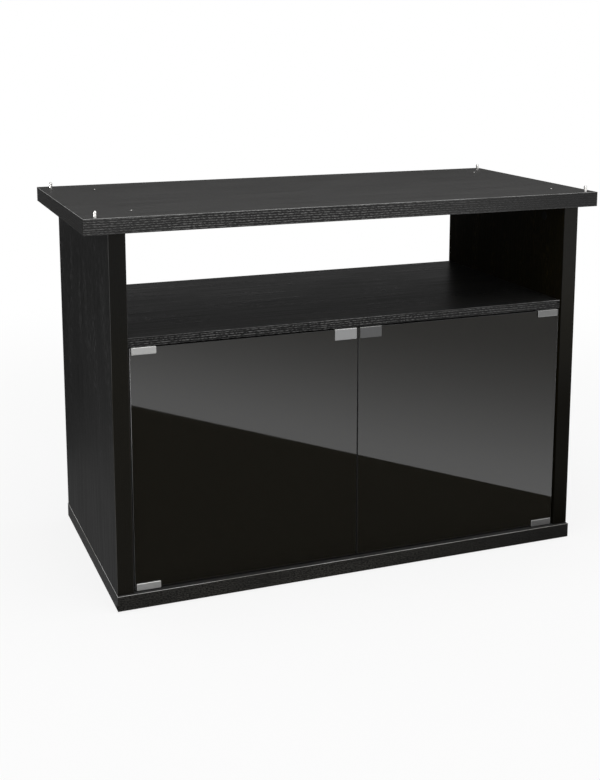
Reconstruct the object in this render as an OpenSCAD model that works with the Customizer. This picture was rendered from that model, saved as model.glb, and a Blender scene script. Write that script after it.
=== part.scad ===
// Terrarium cabinet: a black carcass with an open bay above a closed compartment with two glass doors.
// X runs across the front, Y from the front to the back, and Z up. Sizes are in millimetres.
// The origin is on the floor, at the middle of the outer box.

/* [Carcass] */
// Width over the outer faces of the side panels
carcass_w = 918; // [760:1:1200]
// Depth from the base's front edge to the back edges of the boards
cabinet_d = 472; // [420:1:560]
// Height from the floor to the upper face of the top
cabinet_h = 700; // [640:1:800]
// Height of the upper shelf's upper face above the floor
shelf_level = 490; // [440:1:560]
// Thickness of the top panel
top_t = 28; // [24:1:40]
// Thickness of the side panels
side_t = 30; // [24:1:40]
// Thickness of the base panel
base_t = 28; // [24:1:40]
// Thickness of the upper shelf and of the inner shelf
shelf_t = 16; // [15:1:22]
// How far the top stands out past each side panel
top_overhang = 41; // [30:1:60]
// How far the base stands out past each side panel
base_lip = 1; // [1:0.5:6]
// How far the top's front edge lies behind the base's
top_setback = 4; // [1:0.5:8]
// How far the side panels' front edges lie behind the base's
side_setback = 6; // [2:0.5:9]
// How far the upper shelf's front edge lies behind the side panels'
shelf_setback = 6; // [3:0.5:7]

/* [Edge bands] */
// Thickness of the edge bands
band_t = 1.5; // [1:0.1:2]
// Radius along the bands' outer edges
band_round = 1; // [0.4:0.1:1]
// Hairline joint where two bands meet at a corner
band_joint = 0.1; // [0.05:0.05:0.2]

/* [Back panel] */
// Thickness of the back panel
back_t = 4; // [3:0.5:6]
// How far the back panel lies inside the boards' back edges
back_inset = 8; // [5:0.5:14]
// Depth of the groove that holds the back panel
groove_depth = 6; // [4:0.5:9]
// Room in the groove on each face of the back panel
groove_clear = 0.15; // [0.1:0.05:0.3]
// Radius of the two cable holes
cable_hole_r = 25; // [18:1:32]
// Distance of each cable hole from the middle of the cabinet
cable_hole_x = 300; // [150:1:310]
// Distance of the cable holes below the upper shelf
cable_hole_drop = 60; // [50:1:80]
// Number of screws that hold the back panel to the shelf
back_screws = 5; // [3:1:8]

/* [Inner shelf] */
// Distance of the inner shelf's front edge behind the glass doors
inner_shelf_front_gap = 42; // [15:1:160]
// Gap between the inner shelf and each side panel
inner_shelf_gap = 1.5; // [1:0.5:4]
// Gap between the inner shelf and the back panel
inner_shelf_back_gap = 2; // [1:0.5:6]
// Height of the lowest row of shelf pin holes above the base
pin_row_first = 152; // [120:1:170]
// Distance between the rows of shelf pin holes
pin_row_pitch = 32; // [25:1:34]
// Number of rows of shelf pin holes
pin_rows = 5; // [3:1:5]
// Row that the shelf rests on, counted from 0 at the bottom
pin_row_used = 2; // [0:1:2]
// Radius of the shelf pins' shanks
shelf_pin_r = 2.5; // [2:0.1:3]
// Radius of the shelf pins' heads
shelf_pin_head_r = 3.5; // [3.4:0.1:4.5]
// Length of the shelf pins' heads
shelf_pin_head_l = 8; // [6:0.5:12]
// Depth that the shelf pins go into the side panels
shelf_pin_depth = 9; // [7:0.5:12]
// Distance of the shelf pins from the inner shelf's front and back edges
shelf_pin_edge = 55; // [35:1:80]

/* [Doors] */
// Thickness of the glass
glass_t = 5; // [4:0.5:6]
// Chamfer along the glass edges
glass_chamfer = 0.5; // [0.3:0.1:1.2]
// How far the glass lies behind the base's front edge
door_recess = 11; // [10:0.5:14]
// Gap between a door and the side panel beside it
door_gap_side = 3; // [2.5:0.5:7]
// Gap between the two doors
door_gap_mid = 2; // [1.5:0.5:5]
// Gap between the glass and the boards above and below it
door_gap_end = 2.5; // [2.3:0.1:5]

/* [Hinges] */
// Width of a hinge clip
clip_w = 44; // [38:1:56]
// Distance of a hinge clip from the glass's outer edge
clip_in = 2.5; // [0.5:0.5:4]
// Height of a hinge clip
clip_h = 13; // [12:0.5:18]
// Thickness of a clip's front leg
clip_front_t = 2; // [1.5:0.1:2.6]
// Thickness of a clip's back leg
clip_back_t = 6; // [5:0.5:8]
// Thickness of the web over the glass edge
clip_web_t = 1.5; // [1.2:0.1:1.8]
// Corner radius of a clip
clip_corner_r = 1.5; // [0.8:0.1:2.5]
// Chamfer round a clip's front face
clip_chamfer = 0.6; // [0.3:0.1:0.9]
// Thickness of the pads that the glass is clamped between
pad_t = 0.5; // [0.4:0.1:0.8]
// How far the pads stay inside the edges of the clip
pad_margin = 1; // [0.5:0.1:2]
// Distance of the pivot from the glass's outer edge
pivot_in = 16; // [14:0.5:17]
// Distance of the pivot behind the back of the glass
pivot_back = 2.7; // [2.6:0.1:3]
// Radius of the pivot pins
pivot_pin_r = 2.5; // [2:0.1:2.6]
// Radius of the part of a pivot pin that is held in the clip
pivot_root_r = 1.6; // [1.4:0.1:2]
// Depth that a pivot pin goes into the clip
pivot_root_l = 6; // [4:0.5:8]
// Length of a pivot pin inside its bush
pivot_pin_l = 7; // [5:0.5:9]
// Running clearance round a pivot pin
pivot_clear = 0.05; // [0.03:0.01:0.08]
// Outer radius of a hinge bush
bush_r = 3.9; // [3.8:0.1:4.2]
// Radius of a hinge bush's flange
bush_flange_r = 6; // [5:0.5:7]
// Length of a hinge bush inside its board
bush_l = 10; // [9.5:0.5:12]
// Gap between a clip and the bush's flange
bush_gap = 0.2; // [0.1:0.1:0.3]
// Radius of the clamp screws
clamp_screw_r = 2; // [1.5:0.1:2.3]
// Distance of the first clamp screw from the clip's outer end
clamp_screw_first = 22; // [22:0.5:26]
// Distance between the two clamp screws
clamp_screw_pitch = 11; // [8:0.5:13]
// Radius of the clamp screws' hexagon sockets, to the corners
clamp_socket_r = 1.1; // [0.8:0.1:1.2]

/* [Strike plates] */
// Width of a strike plate
strike_w = 43; // [36:0.5:60]
// Height of a strike plate
strike_h = 20.5; // [18:0.5:28]
// Thickness of the sheet steel
strike_t = 1; // [0.8:0.1:1.2]
// Corner radius of a strike plate
strike_corner_r = 1.5; // [0.5:0.1:3]
// Thickness of the liners between the strike plate and the glass
liner_t = 0.5; // [0.3:0.1:0.8]
// Distance of a strike plate from the door's inner edge
strike_in = 2.5; // [1:0.5:4]

/* [Push latch] */
// Width of the latch housing's block
latch_w = 62; // [54:1:80]
// Height of the latch housing
latch_h = 16; // [14:0.5:20]
// Depth of the latch housing
latch_d = 42; // [40:1:54]
// Distance between the strike plates and the latch housing's front
latch_reach = 6.5; // [5:0.5:9]
// Width of each screw lug
lug_w = 11; // [9:0.5:14]
// Thickness of each screw lug
lug_t = 3; // [2:0.5:4]
// Distance of each plunger from the middle of the cabinet
plunger_x = 16; // [11:0.5:20]
// Radius of the plungers
plunger_r = 5.5; // [4.5:0.1:6]
// Running clearance round the plungers
plunger_clear = 0.08; // [0.05:0.01:0.1]
// Length of a plunger inside its housing, with the door closed
plunger_in = 20; // [16:0.5:22]
// Gap between a plunger's face and its strike plate, with the door closed
plunger_gap = 0.3; // [0.2:0.1:0.5]
// Travel of the plungers when the door is pushed in
plunger_travel = 3; // [2:0.5:4]
// Radius of the magnets
magnet_r = 4.2; // [3.5:0.1:4.3]
// Thickness of the magnets
magnet_t = 3; // [2:0.5:4]
// Length that the springs could still be pressed together with the door pushed right in
spring_spare = 4.2; // [2:0.1:6]
// Mean radius of the springs' coils
spring_coil_r = 3.6; // [3:0.1:3.8]
// Radius of the springs' wire
spring_wire_r = 0.4; // [0.3:0.05:0.5]
// Turns of the springs
spring_turns = 6; // [4:1:7]

/* [Top fittings] */
// Radius of the locating pins
pin_r = 3; // [2.5:0.1:4]
// Height of the locating pins above the top
pin_h = 12.4; // [9:0.1:18]
// Radius of the locating pins' necks
pin_neck_r = 2.3; // [1.8:0.1:2.4]
// Length of the narrow part of the locating pins' necks
pin_neck_l = 0.5; // [0.2:0.1:2]
// Height of the middle of the necks above the top
pin_neck_z = 6.5; // [4:0.1:8]
// Length of the locating pins' threads
pin_thread_l = 10; // [6:0.5:12]
// Distance of the locating pins from the top's ends
pin_end = 22; // [16:0.5:26]
// Distance of the front locating pins from the top's front edge
pin_front = 9; // [8:0.5:16]
// Distance of the back locating pins from the top's back edge
pin_back = 34; // [20:1:50]
// Distance of the left pair of spare sockets from the top's left end
socket_left = 100; // [86:1:140]
// Distance of the right pair of spare sockets from the top's right end
socket_right = 54; // [46:1:58]
// Distance of the spare sockets from the top's front edge
socket_front = 78; // [50:1:110]
// Distance of the spare sockets from the top's back edge
socket_back = 78; // [60:1:110]
// Radius of the threaded hole in the inserts
insert_hole_r = 1.7; // [1.5:0.1:2.4]
// Outer radius of the inserts
insert_r = 3.1; // [2.8:0.1:3.6]
// Radius of the inserts' flanges
insert_flange_r = 3.8; // [3.6:0.1:6]
// Thickness of the inserts' flanges
insert_flange_t = 0.6; // [0.4:0.1:1]
// Length of the inserts
insert_l = 13; // [10:0.5:15]

/* [Board fittings] */
// Distance of the cam fittings from a board's front and back edges
cam_edge = 70; // [62:1:90]
// Distance of the dowels from a board's front and back edges
dowel_edge = 38; // [30:1:46]
// Distance of a cam lock's middle from the end of its board
cam_reach = 24; // [22:0.5:34]
// Depth of the cam bolts and dowels below the face that the cam lock is in
cam_axis_depth = 7.5; // [7:0.1:7.6]
// Radius of the cam locks
cam_r = 7.5; // [7:0.1:8]
// Height of the cam locks
cam_h = 12; // [11.5:0.1:12.5]
// Radius of the cam bolts' shanks
bolt_r = 2.5; // [2:0.1:2.8]
// Radius of the cam bolts' threads
bolt_thread_r = 3; // [2.9:0.1:3.3]
// Length of the cam bolts' threads
bolt_thread_l = 11; // [9:0.5:12]
// Radius of the cam bolts' heads and collars
bolt_head_r = 3.4; // [3:0.1:3.5]
// Radius of the holes for the cam bolts in the ends of the boards
bolt_hole_r = 4; // [3.8:0.1:4.2]
// Radius of the dowels
dowel_r = 4; // [3.5:0.1:4.2]
// Depth that a dowel goes into each of its two boards
dowel_l = 17; // [12:0.5:19]
// Radius of the cam caps
cap_r = 8.6; // [8.3:0.1:10]
// Thickness of the cam caps
cap_t = 1; // [0.8:0.1:1.4]
// Clearance round dowels, cam locks, bolts and inserts in their holes
fit_clear = 0.1; // [0.05:0.05:0.15]

/* [Screws and glides] */
// Radius of the wood screws' shanks
screw_r = 1.6; // [1.3:0.1:2]
// Length of the wood screws' shanks
screw_l = 14; // [11:0.5:14.5]
// Radius of the wood screws' heads
screw_head_r = 3.4; // [3:0.1:4]
// Height of the wood screws' heads
screw_head_h = 2; // [1.4:0.1:2.6]
// Height of the floor glides
glide_h = 2; // [1.5:0.5:5]
// Radius of the floor glides
glide_r = 11; // [8:0.5:14]
// Distance of the outer glides from the base's ends, and of all from its front and back
glide_edge = 32; // [24:1:50]
// Length of the glides' nails
glide_nail_l = 14; // [8:0.5:16]
// Radius of the glides' nails
glide_nail_r = 0.9; // [0.6:0.1:1.2]

/* [Hidden] */
$fn = 48;
// A cut runs past a face by this much.
past = 1;

// Planes across the depth
front_y = -cabinet_d / 2;
back_y = cabinet_d / 2;
top_front_y = front_y + top_setback;
side_front_y = front_y + side_setback;
shelf_front_y = side_front_y + shelf_setback;
back_face_y = back_y - back_inset;
back_front_y = back_face_y - back_t;

// Planes across the width
outer_x = carcass_w / 2;
inner_x = outer_x - side_t;
top_x = outer_x + top_overhang;
base_x = outer_x + base_lip;

// Planes up the height
base_z = glide_h + base_t;
top_z = cabinet_h - top_t;
shelf_z = shelf_level - shelf_t;

// Doors, as the right one lies
glass_front_y = front_y + door_recess;
glass_back_y = glass_front_y + glass_t;
glass_x0 = door_gap_mid / 2;
glass_x1 = inner_x - door_gap_side;
glass_z0 = base_z + door_gap_end;
glass_z1 = shelf_z - door_gap_end;
pivot_x = glass_x1 - pivot_in;
pivot_y = glass_back_y + pivot_back;
clip_x1 = glass_x1 - clip_in;
clip_x0 = clip_x1 - clip_w;
clip_front_y = glass_front_y - pad_t - clip_front_t;
clip_back_y = glass_back_y + pad_t + clip_back_t;
clip_z0 = glass_z0 - clip_web_t;
bush_end_room = 1;
bush_flange_t = door_gap_end - clip_web_t - bush_gap;
bush_bore_l = pivot_pin_l + bush_end_room;
strike_x0 = glass_x0 + strike_in;
strike_x1 = strike_x0 + strike_w;
strike_front_y = glass_front_y - liner_t - strike_t;
strike_back_y = glass_back_y + liner_t + strike_t;
strike_top_z = glass_z1 + strike_t;
strike_bottom_z = strike_top_z - strike_h;

// Push latch
latch_front_y = strike_back_y + latch_reach;
plunger_front_y = strike_back_y + plunger_gap;
plunger_back_y = latch_front_y + plunger_in;
spring_l = 2 * spring_turns * spring_wire_r + plunger_travel + spring_spare;
latch_bore_end_y = plunger_back_y + spring_l;
latch_z = shelf_z - latch_h;
plunger_z = shelf_z - latch_h / 2;
lug_screw_x = latch_w / 2 + lug_w / 2;
lug_screw_y = latch_front_y + latch_d / 2;
spring_end_gap = 0.2;

// Inner shelf
shelf_pin_z = base_z + pin_row_first + pin_row_used * pin_row_pitch;
inner_shelf_z = shelf_pin_z + shelf_pin_head_r;
inner_shelf_back_y = back_front_y - inner_shelf_back_gap;
inner_shelf_front_y = glass_back_y + inner_shelf_front_gap;
shelf_pin_ys = [inner_shelf_front_y + shelf_pin_edge, inner_shelf_back_y - shelf_pin_edge];

// Fittings between the boards
side_cam_ys = [side_front_y + cam_edge, back_y - cam_edge];
side_dowel_ys = [side_front_y + dowel_edge, back_y - dowel_edge];
shelf_cam_ys = [shelf_front_y + cam_edge, back_front_y - cam_edge];
shelf_dowel_ys = [shelf_front_y + dowel_edge, back_front_y - dowel_edge];
cam_axis_x = inner_x + cam_axis_depth;
cam_axis_z = shelf_z + cam_axis_depth;
cam_hole_h = cam_h + fit_clear;

// Fittings on the top, as [x, y] places
pin_places = [
    for (sx = [-1, 1], y = [top_front_y + pin_front, back_y - pin_back]) [sx * (top_x - pin_end), y]
];
socket_places = [
    for (x = [-top_x + socket_left, top_x - socket_right])
        for (y = [top_front_y + socket_front, back_y - socket_back]) [x, y]
];
glide_places = [
    for (x = [glide_edge - base_x, 0, base_x - glide_edge])
        for (y = [front_y + glide_edge, back_y - glide_edge]) [x, y]
];
back_screw_span = 2 * (inner_x - cam_edge);
back_screw_xs = [for (i = [0:back_screws - 1]) (i / (back_screws - 1) - 0.5) * back_screw_span];

// ---- Shapes that repeat ----

// A block between two opposite corners.
module block(a, b) {
    translate(a)
        cube(b - a);
}

// Draws a right-hand piece, or its mirror image on the left.
module on_side(side) {
    if (side < 0) {
        mirror([1, 0, 0])
            children();
    } else {
        children();
    }
}

// Draws a piece at the door's lower edge, and its mirror image at the upper edge.
module at_door_ends() {
    children();
    translate([0, 0, glass_z0 + glass_z1])
        mirror([0, 0, 1])
            children();
}

// Cylinders whose axes run along X or Y, from their place towards the positive side.
module rod_x(r, l) {
    rotate([0, 90, 0])
        cylinder(r = r, h = l);
}

module rod_y(r, l) {
    rotate([-90, 0, 0])
        cylinder(r = r, h = l);
}

// Section of an edge band: its glued face is at x = band_t, and its outer edges are rounded.
module band_section(h) {
    intersection() {
        square([band_t, h]);
        union() {
            translate([band_round, 0])
                square([band_t, h]);
            translate([0, band_round])
                square([band_t, h - 2 * band_round]);
            for (y = [band_round, h - band_round])
                translate([band_round, y])
                    circle(r = band_round);
        }
    }
}

// A band along X, with its outer face at y and looking to the front.
module front_band(half_w, y, z0, z1) {
    translate([-half_w, y, z0])
        rotate([90, 0, 90])
            linear_extrude(2 * half_w)
                band_section(z1 - z0);
}

// The same, looking to the back.
module back_band(half_w, y, z0, z1) {
    mirror([0, 1, 0])
        front_band(half_w, -y, z0, z1);
}

// Two bands along Y, on the left and right ends of a board.
module end_bands(half_w, y0, y1, z0, z1) {
    for (side = [-1, 1])
        on_side(side)
            translate([-half_w, y1, z0])
                rotate([90, 0, 0])
                    linear_extrude(y1 - y0)
                        band_section(z1 - z0);
}

// Bands on all four edges of a lying board.
module band_ring(half_w, y0, y1, z0, z1) {
    front_band(half_w, y0, z0, z1);
    back_band(half_w, y1, z0, z1);
    end_bands(half_w, y0 + band_t + band_joint, y1 - band_t - band_joint, z0, z1);
}

// A rectangle with round corners, from one corner to the other.
module rounded_rectangle(a, b, r) {
    translate([a.x + r, a.y])
        square([b.x - a.x - 2 * r, b.y - a.y]);
    translate([a.x, a.y + r])
        square([b.x - a.x, b.y - a.y - 2 * r]);
    for (x = [a.x + r, b.x - r], y = [a.y + r, b.y - r])
        translate([x, y])
            circle(r = r);
}

// The same outline in the X and Z directions, as a plate from y0 to y1.
module upright_plate(a, b, r, y0, y1) {
    translate([0, y1, 0])
        rotate([90, 0, 0])
            linear_extrude(y1 - y0)
                rounded_rectangle(a, b, r);
}

// Corner points of a rectangle with its four corners cut off. c0 is cut at the low y, c1 at the high y.
function cut_rectangle(a, b, c0, c1) = [
    [a.x + c0, a.y], [b.x - c0, a.y], [b.x, a.y + c0], [b.x, b.y - c1],
    [b.x - c1, b.y], [a.x + c1, b.y], [a.x, b.y - c1], [a.x, a.y + c0]
];

// A slab with cut edges all round: c0 on the front face, c1 on the back face.
module cut_slab(a, b, c0, c1) {
    intersection() {
        translate([0, 0, a.z])
            linear_extrude(b.z - a.z)
                polygon(cut_rectangle([a.x, a.y], [b.x, b.y], c0, c1));
        translate([a.x, 0, 0])
            rotate([90, 0, 90])
                linear_extrude(b.x - a.x)
                    polygon([for (p = cut_rectangle([a.z, a.y], [b.z, b.y], c0, c1)) [p.y, p.x]]);
    }
}

// A pan-head wood screw along +Z, with the underside of its head at z = 0.
module wood_screw() {
    tip_r = 0.2;
    crown_r = screw_head_r * 0.7;
    slot_l = screw_head_r;
    slot_w = screw_head_h / 3;
    slot_depth = screw_head_h / 2;
    difference() {
        union() {
            cylinder(r = screw_r, h = screw_l - screw_r);
            translate([0, 0, screw_l - screw_r])
                cylinder(r1 = screw_r, r2 = tip_r, h = screw_r);
            translate([0, 0, -screw_head_h])
                cylinder(r1 = crown_r, r2 = screw_head_r, h = screw_head_h);
        }
        for (turn = [0, 90])
            rotate([0, 0, turn])
                translate([-slot_l / 2, -slot_w / 2, -screw_head_h - past])
                    cube([slot_l, slot_w, past + slot_depth]);
    }
}

// ---- Where the board fittings go ----

// Draws its children, which lie along +Z from a board's face, at each fitting between boards.
// The places are those at the side panels' ends and at the upper shelf's ends.
module at_side_ends(ys) {
    for (side = [-1, 1], y = ys)
        on_side(side) {
            translate([cam_axis_x, y, base_z])
                children();
            translate([cam_axis_x, y, top_z])
                rotate([180, 0, 0])
                    children();
        }
}

module at_shelf_ends(ys) {
    for (side = [-1, 1], y = ys)
        on_side(side)
            translate([inner_x, y, cam_axis_z])
                rotate([0, -90, 0])
                    children();
}

// Draws its children, which go into a board's face along +Z, at each cam lock.
module at_side_locks() {
    for (side = [-1, 1], y = side_cam_ys, z = [base_z + cam_reach, top_z - cam_reach])
        on_side(side)
            translate([inner_x, y, z])
                rotate([0, 90, 0])
                    children();
}

module at_shelf_locks() {
    for (side = [-1, 1], y = shelf_cam_ys)
        on_side(side)
            translate([inner_x - cam_reach, y, shelf_z])
                children();
}

// Holes that the bolt and the dowel leave in the two boards that they join.
module bolt_hole() {
    translate([0, 0, -bolt_thread_l - fit_clear])
        cylinder(r = bolt_thread_r + fit_clear, h = bolt_thread_l + fit_clear + past / 10);
    cylinder(r = bolt_hole_r, h = cam_reach);
}

module dowel_hole() {
    translate([0, 0, -dowel_l - fit_clear])
        cylinder(r = dowel_r + fit_clear, h = 2 * (dowel_l + fit_clear));
}

module lock_hole() {
    translate([0, 0, -past])
        cylinder(r = cam_r + fit_clear, h = cam_hole_h + past);
}

// ---- Carcass ----

module top_panel() {
    color("#46464a")
        difference() {
            block(
                [band_t - top_x, top_front_y + band_t, top_z],
                [top_x - band_t, back_y - band_t, cabinet_h]
            );
            at_side_ends(side_cam_ys)
                bolt_hole();
            at_side_ends(side_dowel_ys)
                dowel_hole();
            for (place = concat(pin_places, socket_places))
                translate([place.x, place.y, cabinet_h - insert_l - fit_clear]) {
                    cylinder(r = insert_r + fit_clear, h = insert_l + past);
                    translate([0, 0, insert_l - insert_flange_t])
                        cylinder(r = insert_flange_r + fit_clear, h = insert_flange_t + past);
                }
        }
}

module top_edge_bands() {
    color("#3a3a3c")
        band_ring(top_x, top_front_y, back_y, top_z, cabinet_h);
}

// The right side panel. The left one is its mirror image.
module side_panel() {
    difference() {
        block([inner_x, side_front_y + band_t, base_z], [outer_x, back_y - band_t, top_z]);
        block(
            [inner_x - past, back_front_y - groove_clear, base_z - past],
            [inner_x + groove_depth, back_face_y + groove_clear, shelf_level + groove_clear]
        );
        at_side_ends(side_cam_ys)
            bolt_hole();
        at_side_ends(side_dowel_ys)
            dowel_hole();
        at_side_locks()
            lock_hole();
        at_shelf_ends(shelf_cam_ys)
            bolt_hole();
        at_shelf_ends(shelf_dowel_ys)
            dowel_hole();
        for (y = shelf_pin_ys, row = [0:pin_rows - 1])
            translate([inner_x - past, y, base_z + pin_row_first + row * pin_row_pitch])
                rod_x(shelf_pin_r + fit_clear / 2, shelf_pin_depth + fit_clear + past);
    }
}

module left_side_panel() {
    color("#2b2b2c")
        on_side(-1)
            side_panel();
}

module right_side_panel() {
    color("#2b2b2c")
        side_panel();
}

module side_edge_bands() {
    color("#202020")
        for (side = [-1, 1])
            on_side(side) {
                translate([inner_x, side_front_y, base_z])
                    linear_extrude(top_z - base_z)
                        mirror([1, -1, 0])
                            band_section(side_t);
                translate([inner_x, back_y, base_z])
                    linear_extrude(top_z - base_z)
                        mirror([0, 1, 0])
                            mirror([1, -1, 0])
                                band_section(side_t);
            }
}

module base_panel() {
    color("#262627")
        difference() {
            block(
                [band_t - base_x, front_y + band_t, glide_h],
                [base_x - band_t, back_y - band_t, base_z]
            );
            block(
                [-inner_x - groove_depth, back_front_y - groove_clear, base_z - groove_depth],
                [inner_x + groove_depth, back_face_y + groove_clear, base_z + past]
            );
            at_side_ends(side_cam_ys)
                bolt_hole();
            at_side_ends(side_dowel_ys)
                dowel_hole();
            for (side = [-1, 1])
                translate([side * pivot_x, pivot_y, base_z - bush_l - fit_clear])
                    cylinder(r = bush_r + fit_clear / 2, h = bush_l + fit_clear + past);
            for (place = glide_places)
                translate([place.x, place.y, glide_h - past])
                    cylinder(r = glide_nail_r + fit_clear, h = glide_nail_l + fit_clear + past);
        }
}

module base_edge_bands() {
    color("#242425")
        band_ring(base_x, front_y, back_y, glide_h, base_z);
}

module upper_shelf() {
    color("#343436")
        difference() {
            block([-inner_x, shelf_front_y + band_t, shelf_z], [inner_x, back_front_y, shelf_level]);
            at_shelf_ends(shelf_cam_ys)
                bolt_hole();
            at_shelf_ends(shelf_dowel_ys)
                dowel_hole();
            at_shelf_locks()
                lock_hole();
            for (side = [-1, 1])
                translate([side * pivot_x, pivot_y, shelf_z - past])
                    cylinder(r = bush_r + fit_clear / 2, h = bush_l + fit_clear + past);
            for (x = back_screw_xs)
                translate([x, back_front_y - screw_l, shelf_z + shelf_t / 2])
                    rod_y(screw_r + fit_clear, screw_l + past);
            for (side = [-1, 1])
                translate([side * lug_screw_x, lug_screw_y, shelf_z - past])
                    cylinder(r = screw_r + fit_clear, h = screw_l - lug_t + fit_clear + past);
        }
}

module shelf_edge_band() {
    color("#3c3c3e")
        front_band(inner_x, shelf_front_y, shelf_z, shelf_level);
}

module back_panel() {
    side_play = 2 * groove_clear;
    color("#1c1c1c")
        difference() {
            block(
                [side_play - inner_x - groove_depth, back_front_y, base_z - groove_depth],
                [inner_x + groove_depth - side_play, back_face_y, shelf_level]
            );
            for (side = [-1, 1])
                translate([side * cable_hole_x, back_front_y - past, shelf_z - cable_hole_drop])
                    rod_y(cable_hole_r, back_t + 2 * past);
            for (x = back_screw_xs)
                translate([x, back_front_y - past, shelf_z + shelf_t / 2])
                    rod_y(screw_r + fit_clear, back_t + 2 * past);
        }
}

module back_panel_screws() {
    color("#3a3a3a")
        for (x = back_screw_xs)
            translate([x, back_face_y, shelf_z + shelf_t / 2])
                rotate([90, 0, 0])
                    wood_screw();
}

// ---- Inner shelf ----

module inner_shelf() {
    half_w = inner_x - inner_shelf_gap;
    color("#2c2c2e")
        block(
            [-half_w, inner_shelf_front_y + band_t, inner_shelf_z],
            [half_w, inner_shelf_back_y, inner_shelf_z + shelf_t]
        );
}

module inner_shelf_edge_band() {
    color("#303032")
        front_band(
            inner_x - inner_shelf_gap, inner_shelf_front_y, inner_shelf_z, inner_shelf_z + shelf_t
        );
}

module shelf_pins() {
    color("silver")
        for (side = [-1, 1], y = shelf_pin_ys)
            on_side(side)
                translate([inner_x, y, shelf_pin_z]) {
                    rod_x(shelf_pin_r, shelf_pin_depth);
                    translate([-shelf_pin_head_l, 0, 0])
                        rod_x(shelf_pin_head_r, shelf_pin_head_l);
                }
}

// ---- Fittings between the boards ----

// A cam lock: its face is at z = 0, and the cam bolt comes in along +X, at the depth cam_axis_depth.
module cam_lock() {
    slot_w = 1.6;
    slot_l = 9;
    slot_h = 2.5;
    throat_r = bolt_head_r + 3 * fit_clear;
    difference() {
        cylinder(r = cam_r, h = cam_h);
        translate([-throat_r, 0, cam_axis_depth])
            rod_x(throat_r, cam_r + throat_r + past);
        for (turn = [0, 90])
            rotate([0, 0, turn])
                translate([-slot_l / 2, -slot_w / 2, -past])
                    cube([slot_l, slot_w, slot_h + past]);
    }
}

module cam_locks() {
    color("#8c8c90") {
        for (side = [-1, 1], y = side_cam_ys)
            on_side(side) {
                translate([inner_x, y, base_z + cam_reach])
                    rotate([0, 90, 0])
                        cam_lock();
                translate([inner_x, y, top_z - cam_reach])
                    rotate([0, 90, 0])
                        mirror([1, 0, 0])
                            cam_lock();
            }
        at_shelf_locks()
            cam_lock();
    }
}

// A cam bolt: it is screwed into a board whose face is at z = 0, and its head is in the lock.
module cam_bolt() {
    collar_l = 2;
    head_l = 3;
    neck_l = 4;
    neck_r = bolt_r * 0.8;
    tip = 1;
    head_z = cam_reach;
    rotate_extrude()
        polygon([
            [0, -bolt_thread_l], [bolt_thread_r * 0.6, -bolt_thread_l],
            [bolt_thread_r, bolt_thread_r * 0.6 - bolt_thread_l], [bolt_thread_r, 0],
            [bolt_head_r, 0], [bolt_head_r, collar_l], [bolt_r, collar_l],
            [bolt_r, head_z - head_l - neck_l], [neck_r, head_z - head_l - neck_l],
            [neck_r, head_z - head_l], [bolt_head_r, head_z - head_l], [bolt_head_r, head_z - tip],
            [bolt_head_r - tip, head_z], [0, head_z]
        ]);
}

module cam_bolts() {
    color("#c8c8cc") {
        at_side_ends(side_cam_ys)
            cam_bolt();
        at_shelf_ends(shelf_cam_ys)
            cam_bolt();
    }
}

// A thin cap with a sloping rim, which covers a cam lock.
module cam_cap() {
    rotate([180, 0, 0]) {
        cylinder(r = cap_r, h = cap_t / 2);
        translate([0, 0, cap_t / 2])
            cylinder(r1 = cap_r, r2 = cap_r - cap_t / 2, h = cap_t / 2);
    }
}

module cam_caps() {
    color("#1e1e1e") {
        at_side_locks()
            cam_cap();
        at_shelf_locks()
            cam_cap();
    }
}

module dowel() {
    groove = 1;
    translate([0, 0, -dowel_l])
        cylinder(r1 = dowel_r - groove, r2 = dowel_r, h = groove);
    translate([0, 0, groove - dowel_l])
        cylinder(r = dowel_r, h = 2 * (dowel_l - groove));
    translate([0, 0, dowel_l - groove])
        cylinder(r1 = dowel_r, r2 = dowel_r - groove, h = groove);
}

module dowels() {
    color("#c9a878") {
        at_side_ends(side_dowel_ys)
            dowel();
        at_shelf_ends(shelf_dowel_ys)
            dowel();
    }
}

// ---- Fittings on the top and under the base ----

// A locating pin, turned from bar: its thread goes down into the insert.
module locating_pins() {
    thread_r = insert_hole_r - fit_clear / 2;
    neck_slope = pin_r - pin_neck_r;
    neck_low_z = pin_neck_z - pin_neck_l / 2;
    neck_high_z = pin_neck_z + pin_neck_l / 2;
    color("#d8d8d8")
        for (place = pin_places)
            translate([place.x, place.y, cabinet_h - fit_clear])
                rotate_extrude()
                    difference() {
                        union() {
                            polygon([
                                [0, -pin_thread_l], [thread_r, -pin_thread_l], [thread_r, 0],
                                [pin_r, 0], [pin_r, neck_low_z - neck_slope],
                                [pin_neck_r, neck_low_z], [pin_neck_r, neck_high_z],
                                [pin_r, neck_high_z + neck_slope], [pin_r, pin_h - pin_r],
                                [0, pin_h - pin_r]
                            ]);
                            translate([0, pin_h - pin_r])
                                circle(r = pin_r);
                        }
                        translate([-2 * pin_r, -pin_thread_l])
                            square([2 * pin_r, pin_h + pin_thread_l + past]);
                    }
}

module threaded_inserts() {
    color("#b9b9b4")
        for (place = concat(pin_places, socket_places))
            translate([place.x, place.y, cabinet_h - insert_l - fit_clear])
                difference() {
                    union() {
                        cylinder(r = insert_r, h = insert_l);
                        translate([0, 0, insert_l - insert_flange_t])
                            cylinder(r = insert_flange_r, h = insert_flange_t);
                    }
                    translate([0, 0, -past])
                        cylinder(r = insert_hole_r, h = insert_l + 2 * past);
                }
}

module floor_glides() {
    rim = glide_h / 2;
    color("#3a3a3a")
        for (place = glide_places)
            translate([place.x, place.y, 0]) {
                cylinder(r1 = glide_r - rim, r2 = glide_r, h = rim);
                translate([0, 0, rim])
                    cylinder(r = glide_r, h = glide_h - rim);
                translate([0, 0, rim])
                    cylinder(r = glide_nail_r, h = glide_h - rim + glide_nail_l);
            }
}

// ---- Doors, all drawn as the right one lies ----

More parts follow.
